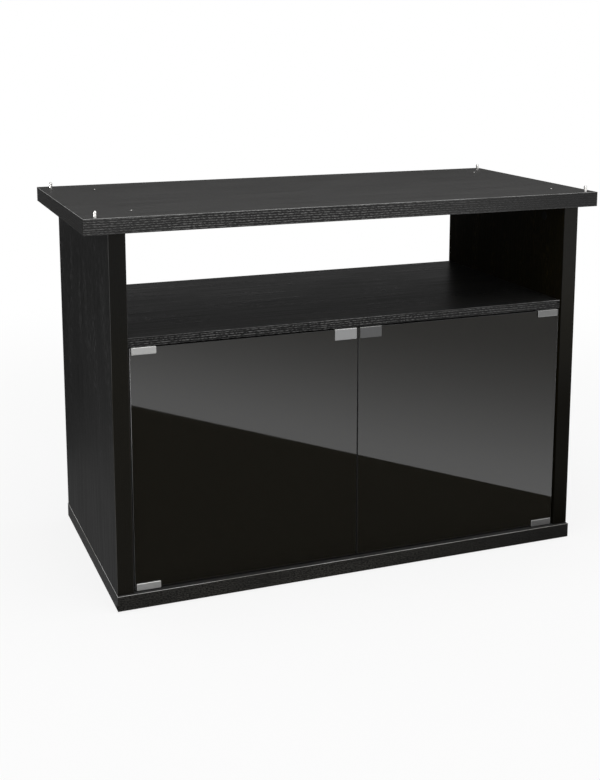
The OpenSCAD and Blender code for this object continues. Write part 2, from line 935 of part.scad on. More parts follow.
// A bush with its flange at the door's lower or upper end, open towards the door.
module hinge_bush() {
    translate([pivot_x, pivot_y, base_z])
        difference() {
            union() {
                translate([0, 0, -bush_l])
                    cylinder(r = bush_r, h = bush_l + bush_flange_t);
                cylinder(r = bush_flange_r, h = bush_flange_t);
            }
            translate([0, 0, bush_flange_t + bush_gap - bush_bore_l])
                cylinder(r = pivot_pin_r + pivot_clear, h = bush_bore_l + past);
        }
}

module hinge_bushes() {
    color("#4a4a4a")
        for (side = [-1, 1])
            on_side(side)
                at_door_ends()
                    hinge_bush();
}

module glass_door() {
    color([0.04, 0.04, 0.04, 0.93])
        cut_slab(
            [glass_x0, glass_front_y, glass_z0], [glass_x1, glass_back_y, glass_z1],
            glass_chamfer, glass_chamfer
        );
}

// A cast clip: a front leg, a web under the glass edge, and a thick back leg with two clamp screws.
module hinge_clip() {
    difference() {
        intersection() {
            cut_slab(
                [clip_x0, clip_front_y, clip_z0], [clip_x1, clip_back_y, clip_z0 + clip_h],
                clip_chamfer, clip_chamfer
            );
            upright_plate(
                [clip_x0, clip_z0], [clip_x1, clip_z0 + clip_h], clip_corner_r,
                clip_front_y, clip_back_y
            );
        }
        block(
            [clip_x0 - past, glass_front_y - pad_t, glass_z0],
            [clip_x1 + past, glass_back_y + pad_t, clip_z0 + clip_h + past]
        );
        translate([pivot_x, pivot_y, clip_z0 - past])
            cylinder(r = pivot_root_r + fit_clear / 2, h = pivot_root_l + fit_clear + past);
        at_clamp_screws()
            rod_y(clamp_screw_r + fit_clear / 2, clip_back_t + 2 * past);
    }
}

// Draws its children at the inner face of the back leg, less the cut's run past it.
module at_clamp_screws() {
    for (i = [0, 1])
        translate([
            clip_x1 - clamp_screw_first - i * clamp_screw_pitch, glass_back_y + pad_t - past,
            glass_z0 + (clip_h - clip_web_t) / 2
        ])
            children();
}

module hinge_clips() {
    color("#9c9c9a")
        at_door_ends()
            hinge_clip();
}

module clip_pads() {
    z0 = glass_z0 + pad_margin;
    z1 = clip_z0 + clip_h - pad_margin;
    color("#303030")
        at_door_ends()
            for (y = [glass_front_y - pad_t, glass_back_y])
                block([clip_x0 + pad_margin, y, z0], [clip_x1 - pad_margin, y + pad_t, z1]);
}

module clamp_screws() {
    recess = 0.5;
    socket_l = 2.5;
    length = clip_back_t - recess;
    color("#707070")
        at_door_ends()
            at_clamp_screws()
                translate([0, past, 0])
                    difference() {
                        rod_y(clamp_screw_r, length);
                        translate([0, length - socket_l, 0])
                            rotate([-90, 0, 0])
                                cylinder(r = clamp_socket_r, h = socket_l + past, $fn = 6);
                    }
}

module pivot_pins() {
    color("#b0b0b0")
        at_door_ends()
            translate([pivot_x, pivot_y, clip_z0]) {
                cylinder(r = pivot_root_r, h = pivot_root_l);
                translate([0, 0, -pivot_pin_l])
                    cylinder(r = pivot_pin_r, h = pivot_pin_l);
            }
}

// A folded steel plate that hangs over the top edge of the glass.
module strike_plate() {
    color("#8a8a8c")
        difference() {
            intersection() {
                block(
                    [strike_x0, strike_front_y, strike_bottom_z],
                    [strike_x1, strike_back_y, strike_top_z]
                );
                upright_plate(
                    [strike_x0, strike_bottom_z], [strike_x1, strike_top_z], strike_corner_r,
                    strike_front_y, strike_back_y
                );
            }
            block(
                [strike_x0 - past, glass_front_y - liner_t, strike_bottom_z - past],
                [strike_x1 + past, glass_back_y + liner_t, glass_z1]
            );
        }
}

module strike_liners() {
    margin = pad_margin;
    color("#303030")
        for (y = [glass_front_y - liner_t, glass_back_y])
            block(
                [strike_x0 + margin, y, strike_bottom_z + margin],
                [strike_x1 - margin, y + liner_t, glass_z1 - margin]
            );
}

module left_glass_door() {
    on_side(-1)
        glass_door();
}

module right_glass_door() {
    glass_door();
}

module left_hinge_clips() {
    on_side(-1)
        hinge_clips();
}

module right_hinge_clips() {
    hinge_clips();
}

module left_clip_pads() {
    on_side(-1)
        clip_pads();
}

module right_clip_pads() {
    clip_pads();
}

module left_clamp_screws() {
    on_side(-1)
        clamp_screws();
}

module right_clamp_screws() {
    clamp_screws();
}

module left_pivot_pins() {
    on_side(-1)
        pivot_pins();
}

module right_pivot_pins() {
    pivot_pins();
}

module left_strike_plate() {
    on_side(-1)
        strike_plate();
}

module right_strike_plate() {
    strike_plate();
}

module left_strike_liners() {
    on_side(-1)
        strike_liners();
}

module right_strike_liners() {
    strike_liners();
}

// ---- Push latch ----

module latch_housing() {
    edge = 1.2;
    color("#2e2e2e")
        difference() {
            union() {
                intersection() {
                    cut_slab(
                        [-latch_w / 2, latch_front_y, latch_z - edge],
                        [latch_w / 2, latch_front_y + latch_d, shelf_z + edge], edge, edge
                    );
                    block(
                        [-latch_w, latch_front_y - past, latch_z],
                        [latch_w, latch_front_y + latch_d + past, shelf_z]
                    );
                }
                block(
                    [-latch_w / 2 - lug_w, lug_screw_y - lug_w / 2, shelf_z - lug_t],
                    [latch_w / 2 + lug_w, lug_screw_y + lug_w / 2, shelf_z]
                );
            }
            for (side = [-1, 1]) {
                translate([side * plunger_x, latch_front_y - past, plunger_z])
                    rod_y(plunger_r + plunger_clear, latch_bore_end_y - latch_front_y + past);
                translate([side * lug_screw_x, lug_screw_y, shelf_z - lug_t - past])
                    cylinder(r = screw_r + fit_clear, h = lug_t + 2 * past);
            }
        }
}

module latch_screws() {
    color("#a0a0a0")
        for (side = [-1, 1])
            translate([side * lug_screw_x, lug_screw_y, shelf_z - lug_t])
                wood_screw();
}

// A plunger: a plastic barrel with a round magnet let into its front face.
module latch_plunger() {
    color("#3c3c3c")
        translate([plunger_x, plunger_front_y, plunger_z])
            difference() {
                rod_y(plunger_r, plunger_back_y - plunger_front_y);
                translate([0, -past, 0])
                    rod_y(magnet_r + fit_clear, magnet_t + past);
            }
}

module latch_magnet() {
    color("#9a9a9e")
        translate([plunger_x, plunger_front_y, plunger_z])
            rod_y(magnet_r, magnet_t);
}

// A coil spring along +Z, as one tube swept along a helix.
module coil(turns, coil_r, wire_r, length) {
    steps = 14;
    sides = 6;
    rings = turns * steps;
    points = [
        for (i = [0:rings], k = [0:sides - 1])
            let (
                a = 360 * i / steps,
                b = 360 * k / sides,
                r = coil_r + wire_r * cos(b),
                z = wire_r + (length - 2 * wire_r) * i / rings + wire_r * sin(b)
            )
            [r * cos(a), r * sin(a), z]
    ];
    walls = [
        for (i = [0:rings - 1], k = [0:sides - 1])
            let (
                p = i * sides + k,
                q = i * sides + (k + 1) % sides
            )
            each [[p, p + sides, q], [q, p + sides, q + sides]]
    ];
    last = rings * sides;
    start_cap = [for (k = [1:sides - 2]) [0, k, k + 1]];
    end_cap = [for (k = [1:sides - 2]) [last, last + k + 1, last + k]];
    polyhedron(points, concat(walls, start_cap, end_cap));
}

module latch_spring() {
    color("#c0c0c0")
        translate([plunger_x, plunger_back_y + spring_end_gap, plunger_z])
            rotate([-90, 0, 0])
                coil(spring_turns, spring_coil_r, spring_wire_r, spring_l - 2 * spring_end_gap);
}

module left_latch_plunger() {
    on_side(-1)
        latch_plunger();
}

module right_latch_plunger() {
    latch_plunger();
}

module left_latch_magnet() {
    on_side(-1)
        latch_magnet();
}

module right_latch_magnet() {
    latch_magnet();
}

module left_latch_spring() {
    on_side(-1)
        latch_spring();
}

module right_latch_spring() {
    latch_spring();
}

top_panel();
top_edge_bands();
left_side_panel();
right_side_panel();
side_edge_bands();
base_panel();
base_edge_bands();
upper_shelf();
shelf_edge_band();
back_panel();
back_panel_screws();
inner_shelf();
inner_shelf_edge_band();
shelf_pins();
cam_locks();
cam_bolts();
cam_caps();
dowels();
locating_pins();
threaded_inserts();
floor_glides();
hinge_bushes();
left_glass_door();
left_hinge_clips();
left_clip_pads();
left_clamp_screws();
left_pivot_pins();
left_strike_plate();
left_strike_liners();
right_glass_door();
right_hinge_clips();
right_clip_pads();
right_clamp_screws();
right_pivot_pins();
right_strike_plate();
right_strike_liners();
latch_housing();
latch_screws();
left_latch_plunger();
left_latch_magnet();
left_latch_spring();
right_latch_plunger();
right_latch_magnet();
right_latch_spring();
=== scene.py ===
from math import cos, pi, radians, sin

import bmesh
import bpy
from mathutils import Matrix, Vector


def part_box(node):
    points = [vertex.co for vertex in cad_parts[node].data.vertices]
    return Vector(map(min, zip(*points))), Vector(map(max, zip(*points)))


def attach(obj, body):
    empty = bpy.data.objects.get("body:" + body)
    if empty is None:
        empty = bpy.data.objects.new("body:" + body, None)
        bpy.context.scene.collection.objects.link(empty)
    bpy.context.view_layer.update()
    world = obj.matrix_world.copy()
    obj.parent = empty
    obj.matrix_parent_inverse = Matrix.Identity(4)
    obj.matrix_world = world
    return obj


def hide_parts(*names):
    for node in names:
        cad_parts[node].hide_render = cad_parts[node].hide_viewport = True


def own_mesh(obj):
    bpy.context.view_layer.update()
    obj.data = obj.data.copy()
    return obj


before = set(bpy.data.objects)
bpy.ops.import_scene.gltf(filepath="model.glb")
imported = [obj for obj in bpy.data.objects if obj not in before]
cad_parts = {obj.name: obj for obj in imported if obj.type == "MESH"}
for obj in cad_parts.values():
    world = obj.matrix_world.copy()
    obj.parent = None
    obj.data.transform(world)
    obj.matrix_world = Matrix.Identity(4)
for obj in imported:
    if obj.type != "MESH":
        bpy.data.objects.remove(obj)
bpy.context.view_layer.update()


# ---- The camera ----
# A long lens held a little above the cabinet's top and to the left of its front, looking slightly
# down. The lens is shifted, so that the cabinet's uprights stay near to vertical in the picture.
CAMERA_AT = (-0.8834, -2.2247, 0.9997)
CAMERA_TURN = 21.04
CAMERA_DIP = 9.944
FILM_WIDTH = 36
LENS = 56.6
LENS_SHIFT = -0.18
FARTHEST_SEEN = 60


def placed(name, made):
    """A new object of the scene, from its mesh, lamp or camera."""
    thing = bpy.data.objects.new(name, made)
    bpy.context.scene.collection.objects.link(thing)
    return thing


camera = placed("camera", bpy.data.cameras.new("camera"))
camera.location = CAMERA_AT
camera.rotation_euler = (radians(90 - CAMERA_DIP), 0, radians(-CAMERA_TURN))
camera.data.sensor_width = FILM_WIDTH
camera.data.lens = LENS
camera.data.shift_y = LENS_SHIFT
camera.data.clip_end = FARTHEST_SEEN
bpy.context.scene.camera = camera
bpy.context.scene.view_settings.view_transform = "Standard"


# ---- The studio ----
# White paper on the floor under a white sky, with softboxes overhead, in front and at the left. Paper
# far from the cabinet is shown white by itself, and paper near it keeps the light and the shadow.
PAPER_TONE = 0.96
PAPER_RADIUS = 16.0
PAPER_SIDES = 48
PAPER_HEIGHT = -0.0002
WHITE_FROM, WHITE_FULL = 0.8, 2.4
WHITE_SHARE_NEAR = 0.84
SKY_LIGHT = 0.45


class Socket:
    """One socket of a material's nodes. Sums on it are written as Python expressions."""

    def __init__(self, tree, link=None):
        self.tree, self.link = tree, link

    def make(self, kind, settings=None, sockets=None, out=0):
        """Adds a node of any kind: its settings are set first, then its sockets' values or links."""
        node = self.tree.nodes.new("ShaderNode" + kind)
        for name, value in (settings or {}).items():
            if name == "stops":
                fill_ramp(node.color_ramp, value)
            else:
                setattr(node, name, value)
        for name, value in (sockets or {}).items():
            if isinstance(value, Socket):
                self.tree.links.new(value.link, node.inputs[name])
            else:
                node.inputs[name].default_value = value
        return Socket(self.tree, node.outputs[out])

    def other(self, name):
        """Another output of the same node."""
        return Socket(self.tree, self.link.node.outputs[name])

    def sum(self, operation, first, second=0.0):
        """A sum of one kind on two values, or on one."""
        return self.make("Math", {"operation": operation}, {0: first, 1: second})

    def __add__(self, value):
        return self.sum("ADD", self, value)

    def __radd__(self, value):
        return self.sum("ADD", value, self)

    def __sub__(self, value):
        return self.sum("SUBTRACT", self, value)

    def __rsub__(self, value):
        return self.sum("SUBTRACT", value, self)

    def __mul__(self, value):
        return self.sum("MULTIPLY", self, value)

    def __rmul__(self, value):
        return self.sum("MULTIPLY", value, self)

    def __abs__(self):
        return self.sum("ABSOLUTE", self)

    def most(self, value):
        return self.sum("MAXIMUM", self, value)

    def least(self, value):
        return self.sum("MINIMUM", self, value)

    def spread(self, low, high, to_low=0.0, to_high=1.0):
        """The value moved smoothly from one range to another, and held at the ends."""
        return self.make("MapRange", {"interpolation_type": "SMOOTHSTEP"},
                         {"Value": self, 1: low, 2: high, 3: to_low, 4: to_high})


def fill_ramp(ramp, stops):
    """Gives a colour ramp its stops, each a place and a grey level."""
    while len(ramp.elements) < len(stops):
        ramp.elements.new(1.0)
    for element, (place, level) in zip(ramp.elements, stops):
        element.position = place
        element.color = (level, level, level, 1)


def new_finish(name):
    """An empty material, and a socket of its nodes to build on."""
    finish = bpy.data.materials.new(name)
    finish.use_nodes = True
    finish.node_tree.nodes.clear()
    return finish, Socket(finish.node_tree)


def show(finish, shader):
    """Ends a material or the sky with its shader."""
    kind = "OutputWorld" if isinstance(finish, bpy.types.World) else "OutputMaterial"
    output = shader.tree.nodes.new("ShaderNode" + kind)
    shader.tree.links.new(shader.link, output.inputs["Surface"])


def place_of(start):
    """Where a point of the surface is at rest, in metres."""
    return start.make("TexCoord", out="Object")


def seen_ray(start):
    """1 for rays from the camera, and for what metal and glass show, and 0 for rays of light."""
    path = start.make("LightPath", out="Is Camera Ray")
    return path.most(path.other("Is Glossy Ray")).most(path.other("Is Transmission Ray"))


def flat_sheet(name, corners, finish):
    """A flat sheet between corners, which is part of the studio."""
    mesh = bpy.data.meshes.new(name)
    mesh.from_pydata(corners, [], [tuple(range(len(corners)))])
    mesh.materials.append(finish)
    sheet = placed(name, mesh)
    return sheet


def soft_lamp(name, at, aim, width, height, watts):
    """A softbox that points at a place."""
    light = bpy.data.lights.new(name, "AREA")
    light.shape = "RECTANGLE"
    light.size, light.size_y = width, height
    light.energy = watts
    lamp = placed(name, light)
    lamp.location = at
    lamp.rotation_euler = (Vector(aim) - Vector(at)).to_track_quat("-Z", "Y").to_euler()


paper, start = new_finish("white paper")
away = start.make("VectorMath", {"operation": "LENGTH"}, {0: place_of(start)}, out="Value")
white_share = seen_ray(start) * away.spread(WHITE_FROM, WHITE_FULL, WHITE_SHARE_NEAR, 1.0)
lit_paper = start.make("BsdfDiffuse", sockets={"Color": (PAPER_TONE, PAPER_TONE, PAPER_TONE, 1)})
white_paper = start.make("Emission", sockets={"Strength": 1.0})
show(paper, start.make("MixShader", sockets={"Fac": white_share, 1: lit_paper, 2: white_paper}))
turns = [2 * pi * side / PAPER_SIDES for side in range(PAPER_SIDES)]
flat_sheet("floor", [(PAPER_RADIUS * cos(turn), PAPER_RADIUS * sin(turn), PAPER_HEIGHT) for turn in turns],
           paper)

sky = bpy.data.worlds.new("white sky")
sky.use_nodes = True
sky.node_tree.nodes.clear()
start = Socket(sky.node_tree)
show(sky, start.make("Background", sockets={
    "Color": SKY_LIGHT + (1 - SKY_LIGHT) * seen_ray(start), "Strength": 1.0}))
bpy.context.scene.world = sky

soft_lamp("overhead lamp", at=(-0.1, -0.5, 3.0), aim=(0, 0, 0.5), width=2.6, height=2.2, watts=34)
soft_lamp("left lamp", at=(-2.6, 0.0, 0.52), aim=(0, 0, 0.38), width=0.6, height=0.4, watts=12)
soft_lamp("front lamp", at=(0.2, -3.3, 1.5), aim=(0, 0, 0.35), width=1.6, height=1.4, watts=20)


# ---- The sheets that gloss sees ----
# Reflections are set with sheets, as in a studio. A black one and a fading pale one share an edge that
# crosses the glass doors slantwise, and darker ones lie and stand at the left and behind. Only gloss
# sees them, and they cast neither light nor shadow.
EDGE_START = Vector((-0.150, -1.401, 0))
EDGE_WAY = Vector((0.578, 0.816, 0))
EDGE_OUT = Vector((0.816, -0.578, 0))
EDGE_NEAR, EDGE_FAR = -1.9, 1.46
SHEET_LIFT = 0.001
LEFT_END, LEFT_END_FRONT, LEFT_END_BACK = -3.2, -2.95, -0.2
PALE_WIDTH = 2.6
FADE_WIDTH = 1.6
FADE_GLOW = 2.03
FADE_TINT = (0.975, 0.985, 1.0)
FADE = [(0.0, 0.985), (0.0625, 0.94), (0.1, 0.89), (0.19, 0.76), (0.28, 0.64), (0.36, 0.54),
        (0.47, 0.43), (0.6, 0.335), (0.72, 0.275), (0.88, 0.235)]
DIM_GLOW = 0.4
BESIDE_CABINET, BEHIND_CABINET = -0.461, 0.24
BACK_SHEETS_Y, BACK_SHEETS_TOP = 0.62, 3.0
FLOOR_RIGHT_END = 1.6
STRIP_LEFT_END, STRIP_RIGHT_END = -0.6, 2.4
STRIP_LEVEL = 0.3
STRIP_FOOT, STRIP_BODY, STRIP_HEAD = (0.54, 0.58), (0.6, 0.7), (0.7, 0.74)


def gloss_sheet(name, corners, finish):
    """A sheet that shows only in reflections."""
    sheet = flat_sheet(name, corners, finish)
    sheet.visible_camera = sheet.visible_diffuse = sheet.visible_shadow = False
    sheet.visible_transmission = sheet.visible_volume_scatter = False


def glowing(name, strength):
    """An even glow."""
    finish, start = new_finish(name)
    show(finish, start.make("Emission", sockets={"Strength": strength}))
    return finish


def along_edge(run, out):
    """A point just over the floor, from how far it is along the shared edge and out from it."""
    return EDGE_START + EDGE_WAY * run + EDGE_OUT * out + Vector((0, 0, SHEET_LIFT))


def lying(left, right, front, back):
    """The corners of a sheet that lies just over the floor."""
    corners = ((left, front), (right, front), (right, back), (left, back))
    return [(x, y, SHEET_LIFT) for x, y in corners]


def standing(left, right):
    """The corners of a sheet that stands behind the cabinet."""
    corners = ((left, 0), (right, 0), (right, BACK_SHEETS_TOP), (left, BACK_SHEETS_TOP))
    return [(x, BACK_SHEETS_Y, z) for x, z in corners]


black = glowing("black sheet", 0.0)
gloss_sheet("black floor sheet", [
    along_edge(EDGE_NEAR, 0), along_edge(EDGE_FAR, 0),
    (LEFT_END, LEFT_END_BACK, SHEET_LIFT), (LEFT_END, LEFT_END_FRONT, SHEET_LIFT)], black)

fading, start = new_finish("fading pale sheet")
out = start.make("VectorMath", {"operation": "DOT_PRODUCT"}, {0: place_of(start), 1: EDGE_OUT}, out="Value")
out = (out - EDGE_START.dot(EDGE_OUT)) * (1 / FADE_WIDTH)
level = start.make("ValToRGB", {"stops": FADE}, {"Fac": out})
tinted = start.make("VectorMath", {"operation": "MULTIPLY"}, {0: level, 1: FADE_TINT})
show(fading, start.make("Emission", sockets={"Color": tinted, "Strength": FADE_GLOW}))
gloss_sheet("fading floor sheet", [
    along_edge(EDGE_NEAR, 0), along_edge(EDGE_NEAR, PALE_WIDTH),
    along_edge(EDGE_FAR, PALE_WIDTH), along_edge(EDGE_FAR, 0)], fading)

gloss_sheet("black floor sheet behind",
            lying(BESIDE_CABINET, FLOOR_RIGHT_END, BEHIND_CABINET, BACK_SHEETS_Y), black)
gloss_sheet("dim floor sheet at the left",
            lying(LEFT_END, BESIDE_CABINET, LEFT_END_BACK, BACK_SHEETS_Y), glowing("dim sheet", DIM_GLOW))

strip, start = new_finish("sheet with a pale strip")
height = start.make("SeparateXYZ", sockets={0: place_of(start)}, out="Z")
level = height.spread(*STRIP_FOOT, 0.0, STRIP_LEVEL) * height.spread(*STRIP_BODY, 1.0, STRIP_LEVEL)
level = level * height.spread(*STRIP_HEAD, 1.0, 0.0)
show(strip, start.make("Emission", sockets={"Color": level, "Strength": 1.0}))
gloss_sheet("strip sheet behind", standing(STRIP_LEFT_END, STRIP_RIGHT_END), strip)
gloss_sheet("black sheet behind", standing(LEFT_END, STRIP_LEFT_END), black)


# ---- The boards ----
# Particle board faced with black foil that is printed and pressed with a fine wood grain. It runs
# along each board's length: from left to right on the top, base and shelves, upwards on the sides.
BEND_SIZE, BEND_REACH = (0.35, 0.08), 0.02
STREAK_SIZE = (0.22, 0.005)
DRIFT_SIZE = (0.25, 0.05)
PORE_SIZE = (0.016, 0.0028)
CLOUD_SIZE = (0.3, 0.12)
PRESSED_DEPTH, BUMP_STRENGTH = 0.00012, 0.6
ARRIS_FROM, ARRIS_FULL = 0.02, 0.16
OLIVE_RED = 0.4
FOIL_WARMTH = 0.02
FOIL_RUB_AND_HIGHLIGHT = 0.03
PORES_BEGIN, PORES_GROW = (0.15, 0.4), (0.4, 0.62)
FOOT_SHADE, FOOT_LEVEL = (0.0, 0.2), 0.68
INSIDE_RIGHT_PANEL = (0.44, 0.45)


def split(start):
    """The three coordinates of a point of the cabinet at rest, in metres."""
    x = start.make("SeparateXYZ", sockets={0: place_of(start)})
    return x, x.other("Y"), x.other("Z")


def noise(along, across, size, detail=3.0, rough=0.55, layer=0.0):
    """A cloudy pattern from 0 to 1. Its clouds have a length and a width, and lie anew in each layer."""
    at = along.make("CombineXYZ", sockets={0: along * (1 / size[0]), 1: across * (1 / size[1]), 2: layer})
    return at.make("TexNoise", sockets={"Vector": at, "Scale": 1.0, "Detail": detail, "Roughness": rough})


def wood_grain(along, across):
    """The long streaks of the print, and its short pressed pores, each from 0 to 1."""
    wander = noise(along, across, BEND_SIZE, 1.0) - 0.5
    bent = across + wander * BEND_REACH
    streaks = noise(along, bent, STREAK_SIZE, 4.0, 0.6).spread(0.3, 0.7)
    drifts = noise(along, bent, DRIFT_SIZE, 2.0, 0.5, layer=2.0).spread(0.45, 0.65)
    pores = noise(along, bent, PORE_SIZE, 2.0, 0.6, layer=7.0).spread(0.48, 0.66)
    return streaks, pores * (0.25 + 0.75 * drifts)


def arris(start):
    """0 on the flat faces of the cabinet at rest, and 1 on its rounded or bevelled edges."""
    facing = start.make("TexCoord", out="Normal")
    x = start.make("SeparateXYZ", sockets={0: facing})
    straight = abs(x).most(abs(x.other("Y"))).most(abs(x.other("Z")))
    return (1 - straight).spread(ARRIS_FROM, ARRIS_FULL)


def grey(value, warmth=0.0):
    """A grey colour from a level, drawn towards a warm olive by its warmth."""
    return value.make("CombineColor", sockets={
        "Red": value * (1 + OLIVE_RED * warmth), "Green": value, "Blue": value * (1 - warmth)})


def principled(start, colour, roughness, height, depth, **even):
    """The surface shader: what varies over it is linked, and what is even is set on its sockets."""
    bump = start.make("Bump", sockets={"Strength": BUMP_STRENGTH, "Distance": depth, "Height": height})
    sockets = {"Base Color": colour, "Roughness": roughness, "Normal": bump}
    for name, value in even.items():
        sockets[name.replace("_", " ").title().replace("Ior", "IOR")] = value
    return start.make("BsdfPrincipled", sockets=sockets)


def dress(finish, *nodes):
    """Puts a material on nodes of the frame."""
    for node in nodes:
        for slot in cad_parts[node].material_slots:
            slot.material = finish


def board_foil(name, level, sheen, print_level, roughness=0.56, upright=False, bay_shade_level=1.0,
               bay_shade_warmth=0.0):
    """Printed foil. Uprights get painted shade at the foot, and warmer painted shade in the bay if asked.
    """
    finish, start = new_finish(name)
    x, y, z = split(start)
    along, across = (z, y) if upright else (x, y)
    streaks, pores = wood_grain(along, across)
    cloud = noise(along, across, CLOUD_SIZE, 2.0)
    warmth = FOIL_WARMTH
    if upright:
        pores = pores * z.spread(*PORES_BEGIN, 0.2, 1.0) * z.spread(*PORES_GROW, 1.0, 2.0)
    tone = level * (0.72 + 0.4 * streaks + 0.16 * cloud) + print_level * pores
    # Painted shade: darker at an upright's foot, and darker and warmer on the right panel's face in the
    # bay.
    if upright:
        outside = x.spread(*INSIDE_RIGHT_PANEL) if bay_shade_level < 1 else 1.0
        tone = tone * z.spread(*FOOT_SHADE, FOOT_LEVEL, 1.0) * (bay_shade_level + (1 - bay_shade_level) * outside)
        warmth = bay_shade_warmth * (1 - outside)
    # Paler arrises: partly wear and partly a painted highlight.
    show(finish, principled(
        start, grey(tone + FOIL_RUB_AND_HIGHLIGHT * arris(start), warmth), roughness + 0.14 * streaks - 0.1 * pores,
        streaks * 0.5 - pores * 0.8, PRESSED_DEPTH, specular_ior_level=sheen))
    return finish


# One foil in lit and shaded copies: its level is painted lightest on the top, darkest on sides and shelves.
dress(board_foil("black foil on the top", level=0.048, sheen=0.35, print_level=0.005), "top_panel")
dress(board_foil("black foil on the left side", level=0.010, sheen=0.2, print_level=0.026, upright=True),
      "left_side_panel")
dress(board_foil("black foil on the right side", level=0.010, sheen=0.1, print_level=0.026, upright=True,
                 bay_shade_level=0.32, bay_shade_warmth=0.9), "right_side_panel")
dress(board_foil("black foil on the base", level=0.02, sheen=0.3, print_level=0.01), "base_panel")
dress(board_foil("black foil on the shelves", level=0.010, sheen=0.35, print_level=0.014, roughness=0.3),
      "upper_shelf", "inner_shelf")


# ---- The edge bands ----
# Strips of black band glued on the boards' edges and rounded over at their arrises. The horizontal
# ones show strong uneven streaks, and their arrises are pale, partly from wear and partly a painted
# highlight. Painted shade darkens their end faces and, on the top and base, their right parts. The
# uprights are plainer, and the right one has a painted reflection over the shelf and warmer painted
# shade below it.
LINE_PITCH = 0.004
LINE_BEND_SIZE, LINE_BEND = (0.3, 0.03), 1.4
PATCH_SIZE = (0.12, 0.02)
RELIEF = 0.0006
END_SHADE = 0.65
UNDERSIDE_RUB_AND_HIGHLIGHT = 0.3
GAP_LEVEL = 0.15
CONTRAST_GROWS, GRAIN_SHADED_TO_THE_RIGHT, SHADE_TO_THE_RIGHT = (-0.48, -0.25), (-0.05, 0.4), (0.05, 0.5)
RIGHT_CORNER = (0.39, 0.42)
RIGHT_UPRIGHT = (0.2, 0.4)
SHADE_BELOW, SHADE_BY = (0.25, 0.43), 0.72
REFLECTION_ABOVE, REFLECTION_BY = (0.4, 0.55), 0.75
COOL_ABOVE, COOLER_BY = (0.4, 0.6), 0.6
WARM_BELOW = (0.25, 0.35)


def edge_band(name, level, contrast, rub_and_highlight, sheen, warmth=0.02, lined=1.0, dash=0.0055, end_shade_level=0.2,
              right_shade_level=1.0, right_corner_glint=1.0, upright=False):
    """A printed band. Lined, its streaks keep to lines, and each streak is about a dash long."""
    finish, start = new_finish(name)
    x, y, z = split(start)
    along, across = (z, x + y) if upright else (x + y, z)
    wander = noise(along, across, LINE_BEND_SIZE, 2.0, 0.6)
    wave = (across * (1 / LINE_PITCH) + wander * LINE_BEND) * (2 * pi)
    lines = start.sum("SINE", wave).spread(-0.9, 0.9)
    breaks = noise(along, across, (dash, 0.4 * dash), 1.0, 0.5, layer=3.0).spread(0.4, 0.6)
    patchy = noise(along, across, PATCH_SIZE, 3.0, 0.6, layer=9.0).spread(0.3, 0.6, 0.4, 1.0)
    facing = start.make("SeparateXYZ", sockets={0: start.make("TexCoord", out="Normal")})
    front = 1 - END_SHADE * abs(facing)
    over = facing.other("Z").spread(-0.3, 0.0, UNDERSIDE_RUB_AND_HIGHLIGHT, 1.0)
    streaks = (1 - lined + lined * lines) * (GAP_LEVEL + (1 - GAP_LEVEL) * breaks)
    # Painted shade: less grain and a darker tone on the end faces and towards the right.
    depth = contrast * front * x.spread(*GRAIN_SHADED_TO_THE_RIGHT, 1.0, 0.2 if right_shade_level < 1 else 0.7)
    depth = depth * x.spread(*CONTRAST_GROWS, 0.7, 1.0)
    tone = level * (1 - depth * 0.42 + depth * streaks * (0.7 + 0.9 * patchy))
    tone = tone * (end_shade_level + (1 - end_shade_level) * front) * x.spread(*SHADE_TO_THE_RIGHT, 1.0, right_shade_level)
    # Right upright: warmer painted shade below the shelf and a painted reflection above; cooler higher up.
    if upright:
        right_one = x.spread(*RIGHT_UPRIGHT)
        tone = tone * (1 - SHADE_BY * right_one * (1 - z.spread(*SHADE_BELOW)))
        tone = tone * (1 + REFLECTION_BY * right_one * z.spread(*REFLECTION_ABOVE))
        warmth = warmth * (1 - COOLER_BY * z.spread(*COOL_ABOVE))
        warmth = warmth * (1 + right_one * z.spread(*WARM_BELOW, 1.0, 0.0))
        rub_and_highlight = rub_and_highlight * (1 - 0.9 * right_one)
    # Pale arrises, part wear and part painted highlight, less below; a painted glint at the right corner.
    wear_and_highlight = arris(start) * patchy * over
    rubbed_and_highlit = rub_and_highlight * wear_and_highlight * x.spread(*RIGHT_CORNER, 1.0, right_corner_glint)
    show(finish, principled(
        start, grey(tone + rubbed_and_highlit, warmth * (1 - wear_and_highlight)), 0.5 - 0.1 * wear_and_highlight,
        streaks * front, RELIEF * contrast, specular_ior_level=sheen))
    return finish


# One band in lit and shaded copies: its level is painted lightest on the top, darkest on the uprights.
dress(edge_band("top edge band", level=0.0385, contrast=2.2, rub_and_highlight=0.42, sheen=0.2,
                end_shade_level=0.5, right_shade_level=0.34), "top_edge_bands")
dress(edge_band("base edge band", level=0.0127, contrast=1.9, rub_and_highlight=0.6, sheen=0.15, warmth=0.11,
                lined=0.25, dash=0.004, end_shade_level=0.0, right_shade_level=0.6), "base_edge_bands")
dress(edge_band("shelf edge band", level=0.0215, contrast=3.8, rub_and_highlight=0.12, sheen=0.2, right_corner_glint=6.0),
      "shelf_edge_band", "inner_shelf_edge_band")
dress(edge_band("upright edge band", level=0.0106, contrast=0.12, rub_and_highlight=0.075, sheen=0.03, warmth=0.22,
                upright=True), "side_edge_bands")


# ---- The back panel ----
# A thin black hardboard sheet, smooth on its face, let into the boards and held by a row of
# blackened screws. Two round holes let cables through.
FIBRE_SIZE, HARDBOARD_CLOUD_SIZE = (0.004, 0.004), (0.15, 0.15)
EVEN_GRAIN = (0.0006, 0.0006, 0.0006)
METAL_WEAR_RADIUS, METAL_RELIEF = 0.0004, 0.00003
WEAR_SAMPLES, WEAR_FROM, WEAR_FULL = 4, 0.01, 0.2
WORN_BRIGHTER = 1.4

